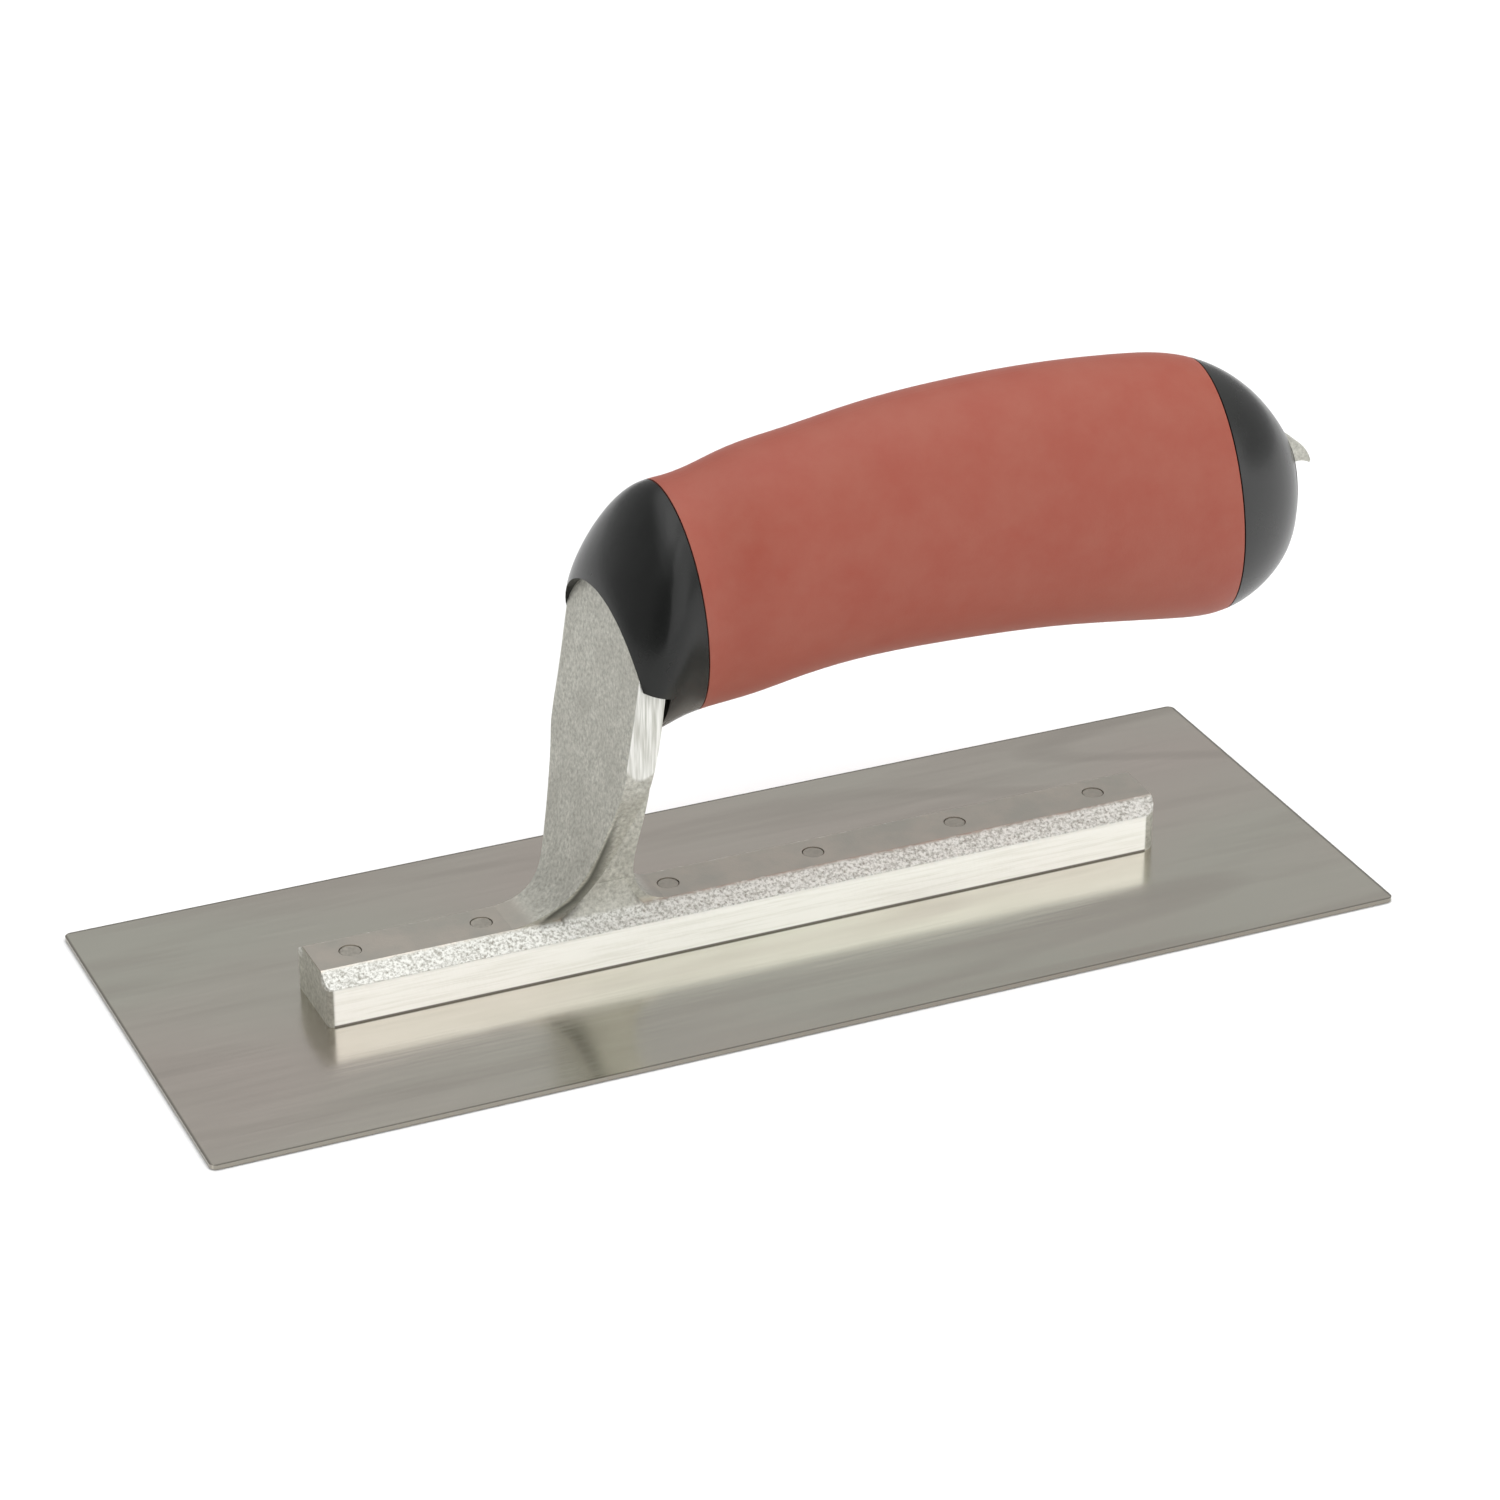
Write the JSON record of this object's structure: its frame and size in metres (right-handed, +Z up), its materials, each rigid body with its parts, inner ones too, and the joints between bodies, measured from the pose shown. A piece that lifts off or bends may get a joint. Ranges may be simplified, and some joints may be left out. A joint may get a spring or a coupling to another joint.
{
  "type": "finishing trowel",
  "caption": "Small rectangular finishing trowel: flat steel blade riveted to a cast aluminium bar and post, with an oval soft-grip handle held above the blade.",
  "frame": {"origin": "middle of the blade's flat underside", "axes": "+X along the blade towards the handle's free end, +Y across the blade, +Z up from the blade to the handle"},
  "size_m": [0.2041, 0.0762, 0.0883],
  "materials": {
    "blade_steel": "satin ground stainless spring steel, warm grey, faint lengthwise grain",
    "cast_aluminium": "as-cast matte speckled grey, sides of the bar and edges of the post ground bright",
    "rivet_steel": "dull grey rivet ends, slightly sunk",
    "black_plastic": "satin black moulded plastic",
    "core_plastic": "plain black moulded plastic, out of sight",
    "red_grip": "dull brick-red soft rubber, fine matte surface",
    "screw_steel": "zinc-plated steel, out of sight",
    "plug_plastic": "matte black plug"
  },
  "bodies": {
    "root": {"blade": "blade_steel", "mounting": "cast_aluminium", "rivet_1": "rivet_steel", "rivet_2": "rivet_steel", "rivet_3": "rivet_steel", "rivet_4": "rivet_steel", "rivet_5": "rivet_steel", "rivet_6": "rivet_steel", "front_ferrule": "black_plastic", "handle_core": "core_plastic", "grip_sleeve": "red_grip", "end_cap": "black_plastic", "clamp_plate": "screw_steel", "end_screw": "screw_steel", "end_plug": "plug_plastic"}
  },
  "joints": []
}
